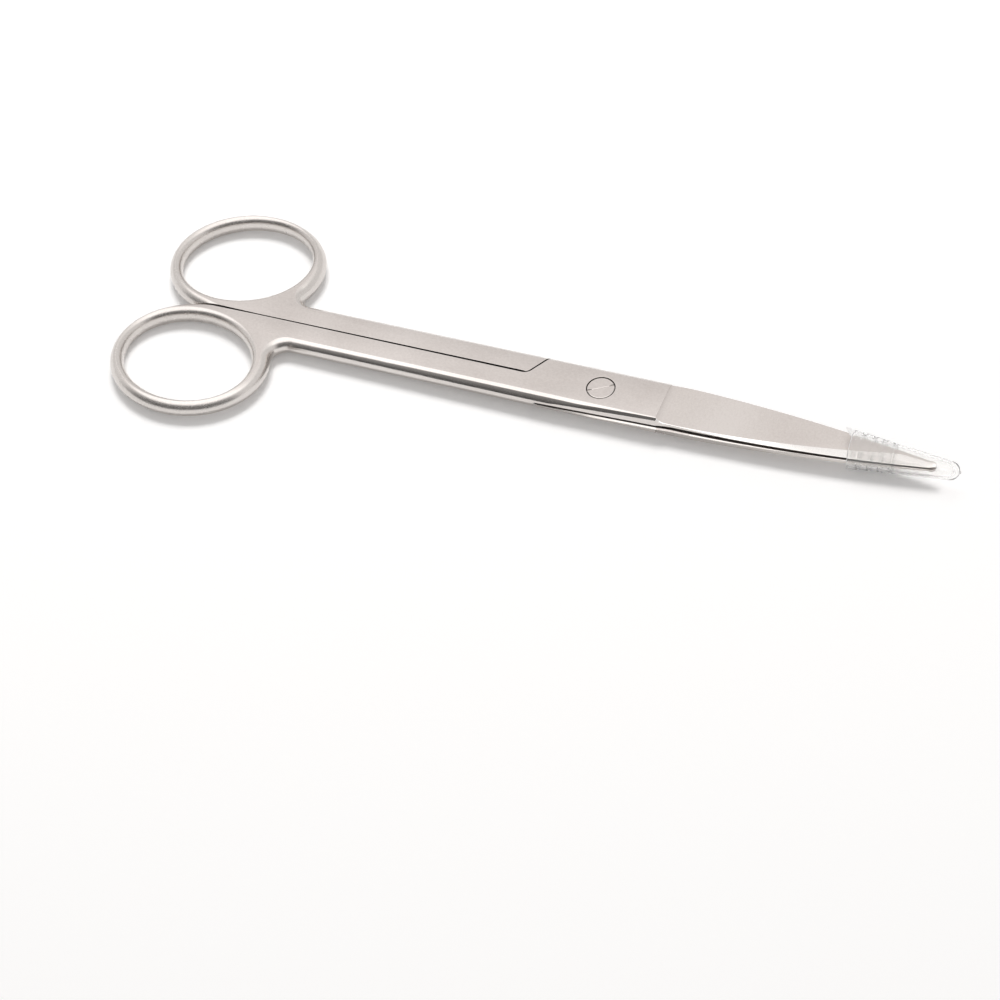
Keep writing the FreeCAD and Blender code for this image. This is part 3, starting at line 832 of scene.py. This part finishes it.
# Clear guard: one moulded shell, its inner wall, rim, grooved outer wall, nose and nib
GUARD_X = 43.1
GUARD_SLOPE = math.tan(math.radians(5.9))
GUARD_OUTER = 3.225
GUARD_WALL = 0.5
GUARD_END = 17.75
HOLLOW_END = 16.8
HOLLOW_TIP = 0.06
NIB_RADIUS = 0.25
RIM_EDGE = 0.08
GRIP_LENGTH = 7.3
GROOVE_COUNT = 4
GROOVE_PITCH = 1.73
GROOVE_DEEP = 0.16
GROOVE_SHAPE = ((-0.3, 0), (-0.22, 0.25), (-0.12, 0.85), (0, 1), (0.12, 0.85), (0.22, 0.25), (0.3, 0))
FLASH_TALL = 1.35
FLASH_THICK = 0.1
FLASH_LEAN = 0.46
FLASH_IN = 0.3
FLASH_ARCS = ((0, 36, 88), (0.3, 42, 84), (0.6, 48, 76), (0.85, 54, 68), (1, 57, 63))


def ball_radius(mouth, length):
    """The ball that closes a cone of that mouth radius and length."""
    angle = math.atan(GUARD_SLOPE)
    return (mouth - GUARD_SLOPE * length) / (math.cos(angle) - GUARD_SLOPE * (1 - math.sin(angle)))


def ball_rings(radius, end, smallest, steps):
    """Rings of the nose's ball from the cone to its end."""
    first = math.atan(GUARD_SLOPE)
    last = math.acos(smallest / radius)
    rings = []
    for i in range(steps + 1):
        angle = first + (last - first) * i / steps
        across = radius * math.cos(angle)
        rings.append(round_ring(end - radius + radius * math.sin(angle), across))
    return rings


def make_guard():
    """The hollow from its closed end to the mouth, the rim, and the outside from there to the nib."""
    inner = GUARD_OUTER - GUARD_WALL
    rings = list(reversed(ball_rings(ball_radius(inner, HOLLOW_END), HOLLOW_END, HOLLOW_TIP, 14)))
    for height in range(14, 0, -1):
        rings.append(round_ring(height, inner - GUARD_SLOPE * height))
    rings += [round_ring(RIM_EDGE, inner), round_ring(0.0, inner + RIM_EDGE),
              round_ring(0.0, GUARD_OUTER - 0.1), round_ring(0.03, GUARD_OUTER - 0.03),
              round_ring(0.1, GUARD_OUTER - 0.01)]
    for i in range(GROOVE_COUNT):
        middle = GROOVE_PITCH * (i + 1)
        for offset, depth in GROOVE_SHAPE:
            height = middle + offset
            rings.append(round_ring(height, GUARD_OUTER - GUARD_SLOPE * height - GROOVE_DEEP * depth))
    for height in range(8, 16):
        rings.append(round_ring(height, GUARD_OUTER - GUARD_SLOPE * height))
    rings += ball_rings(ball_radius(GUARD_OUTER, GUARD_END), GUARD_END, NIB_RADIUS, 16)
    rings += [round_ring(GUARD_END + 0.12, NIB_RADIUS - 0.01), round_ring(GUARD_END + 0.19, 0.17),
              round_ring(GUARD_END + 0.2, 0.1)]
    guard = grow("clear_guard", rings, ROUND_SIDES)
    guard.rotation_euler.y = math.pi / 2
    guard.location.x = GUARD_X
    apply_place(guard)
    close_mesh(guard)
    join_in(guard, make_flash())
    return guard


def make_flash():
    """The thin tongue of moulding flash that stands up from the mouth's rim and leans back."""
    sections = []
    for share, first, last in FLASH_ARCS:
        x = GUARD_X - 0.01 - FLASH_TALL * share
        across = GUARD_OUTER - FLASH_IN + FLASH_LEAN * share ** 1.2
        ring = []
        for angle, thick in ((first, 0), (last, 0), (last, FLASH_THICK), (first, FLASH_THICK)):
            turn = math.radians(angle)
            ring.append((x, (across + thick) * math.cos(turn), (across + thick) * math.sin(turn)))
        sections.append(ring)
    return extrude_sections("flash", sections)


def clear_plastic(name, through_share, dull):
    """Clear plastic, or with a lower share of light let through a milky one."""
    material, tree, shader = new_material(name)
    shader.inputs["Base Color"].default_value = (0.98, 0.975, 0.97, 1)
    shader.inputs["Transmission Weight"].default_value = through_share
    shader.inputs["IOR"].default_value = 1.46
    place = node(tree, "ShaderNodeTexCoord")
    along = node(tree, "ShaderNodeSeparateXYZ", {"Vector": place.outputs["Object"]}).outputs["X"]
    grip_end = (GUARD_X + GRIP_LENGTH) * MM
    rough = mapped(tree, along, (grip_end, grip_end + 0.4 * MM), (dull, 0.03))
    tree.links.new(rough, shader.inputs["Roughness"])
    flow = noise(tree, stretched(tree, (0.6, 1.6, 1.6)), 1.0, detail=2)
    bumped = node(tree, "ShaderNodeBump", {"Height": flow, "Distance": 0.008 * MM, "Strength": 1.0})
    tree.links.new(bumped.outputs["Normal"], shader.inputs["Normal"])
    output = tree.nodes["Material Output"]
    rays = node(tree, "ShaderNodeLightPath")
    through = node(tree, "ShaderNodeBsdfTransparent", {"Color": (0.97, 0.965, 0.965, 1)})
    both = node(tree, "ShaderNodeMixShader", {0: rays.outputs["Is Shadow Ray"]})
    tree.links.new(shader.outputs["BSDF"], both.inputs[1])
    tree.links.new(through.outputs["BSDF"], both.inputs[2])
    tree.links.new(both.outputs["Shader"], output.inputs["Surface"])
    return material


def guard_finish(face):
    """Clear walls, the grip a little milky, the rim and the flash whiter."""
    along = face.center.x / MM - GUARD_X
    across = math.hypot(face.center.y, face.center.z - TOP * MM) / MM
    if along < RIM_EDGE + 0.01:
        return 2
    if along < GRIP_LENGTH and across > GUARD_OUTER - GUARD_SLOPE * along - GUARD_WALL / 2:
        return 1
    return 0


guard = make_guard()
finish_piece(guard)
gloss = clear_plastic("clear_plastic_gloss", through_share=0.97, dull=0.1)
grip = clear_plastic("clear_plastic_grip", through_share=0.9, dull=0.12)
rim = clear_plastic("clear_plastic_rim", through_share=0.5, dull=0.3)
paint_faces(guard, [gloss, grip, rim], guard_finish)
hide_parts("tip_guard")
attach(guard, "guard")

# Camera as the photo was taken, in millimetres and turns found by fitting
AIM = Vector((-7.827, -26.281, 1.8)) * MM
AZIMUTH = math.radians(29.176)
ELEVATION = math.radians(48.921)
ROLL = math.radians(-9.626)
DISTANCE = 393.79 * MM
LENS = 87.65
SENSOR = 36
NEAREST = 0.01

back = Vector((math.sin(AZIMUTH) * math.cos(ELEVATION), -math.cos(AZIMUTH) * math.cos(ELEVATION),
               math.sin(ELEVATION)))
level_right = (-back).cross(Vector((0, 0, 1))).normalized()
level_up = level_right.cross(-back)
right = level_right * math.cos(ROLL) + level_up * math.sin(ROLL)
up = level_up * math.cos(ROLL) - level_right * math.sin(ROLL)
bpy.ops.object.camera_add(location=AIM + back * DISTANCE)
camera = bpy.context.object
camera.data.lens = LENS
camera.data.sensor_width = SENSOR
camera.data.clip_start = NEAREST
turned = camera.matrix_world.to_3x3()
for row in range(3):
    turned[row][0], turned[row][1], turned[row][2] = right[row], up[row], back[row]
camera.rotation_euler = turned.to_euler()
bpy.context.scene.camera = camera

# Floor that the ring's underside and the guard's mouth rest on, so it falls a little towards the tips
RING_FOOT_X = -85.5
MOUTH_DROP = 1.43
FLOOR_SIZE = 4
FLOOR_GLOW = 0.12
floor_fall = math.atan2(MOUTH_DROP, GUARD_X - RING_FOOT_X)
bpy.ops.mesh.primitive_plane_add(size=FLOOR_SIZE, location=(RING_FOOT_X * MM, 0, 0),
                                 rotation=(0, floor_fall, 0))
floor = bpy.context.object
floor.name = "floor"
material, tree, shader = new_material("floor_white")
shader.inputs["Base Color"].default_value = (1.0, 0.995, 0.99, 1)
shader.inputs["Roughness"].default_value = 1.0
shader.inputs["Specular IOR Level"].default_value = 0.0
rays = node(tree, "ShaderNodeLightPath")
seen = either(tree, rays.outputs["Is Camera Ray"], rays.outputs["Is Glossy Ray"])
seen = either(tree, seen, rays.outputs["Is Transmission Ray"])
glow = node(tree, "ShaderNodeMath", {0: seen, 1: FLOOR_GLOW}, operation="MULTIPLY").outputs[0]
shader.inputs["Emission Color"].default_value = (1.0, 1.0, 1.0, 1)
tree.links.new(glow, shader.inputs["Emission Strength"])
floor.data.materials.append(material)

# Lamp behind on the left, for the shadow
LAMP_PLACE = Vector((-0.17, 0.42, 0.83))
LAMP_LONG = 0.4
LAMP_WIDE = 0.3
LAMP_POWER = 5.3
bpy.ops.object.light_add(type="AREA", location=LAMP_PLACE)
lamp = bpy.context.object
lamp.data.shape = "RECTANGLE"
lamp.data.size = LAMP_LONG
lamp.data.size_y = LAMP_WIDE
lamp.data.energy = LAMP_POWER
lamp.rotation_euler = LAMP_PLACE.to_track_quat("Z", "Y").to_euler()
lamp.visible_glossy = False
lamp.visible_transmission = False

# What the metal mirrors: white overhead, paler behind, and a dark room in front of the table
ROOM_BESIDE = 0.88
PLAIN_LIGHT = 0.42
world = bpy.context.scene.world or bpy.data.worlds.new("studio")
bpy.context.scene.world = world
world.use_nodes = True
tree = world.node_tree
tree.nodes.clear()
direction = node(tree, "ShaderNodeTexCoord").outputs["Generated"]
parts = node(tree, "ShaderNodeSeparateXYZ", {"Vector": direction})
overhead = mapped(tree, parts.outputs["Y"], (-0.1, 0.35), (1.7, 1.12))
front = mapped(tree, parts.outputs["Z"], (0.0, 0.6), (0.05, 0.36))
aside = mapped(tree, parts.outputs["Y"], (-0.65, -0.2), (0.0, 1.0))
room = blended(tree, aside, front, ROOM_BESIDE)
rise = mapped(tree, parts.outputs["Z"], (0.58, 0.69), (0.0, 1.0))
mirrored = blended(tree, rise, room, overhead)
rays = node(tree, "ShaderNodeLightPath")
shiny = either(tree, rays.outputs["Is Glossy Ray"], rays.outputs["Is Transmission Ray"])
strength = blended(tree, shiny, PLAIN_LIGHT, mirrored)
light = node(tree, "ShaderNodeBackground", {"Color": (1.0, 0.985, 0.975, 1), "Strength": strength})
node(tree, "ShaderNodeOutputWorld", {"Surface": light.outputs["Background"]})

bpy.context.scene.view_settings.view_transform = "Standard"
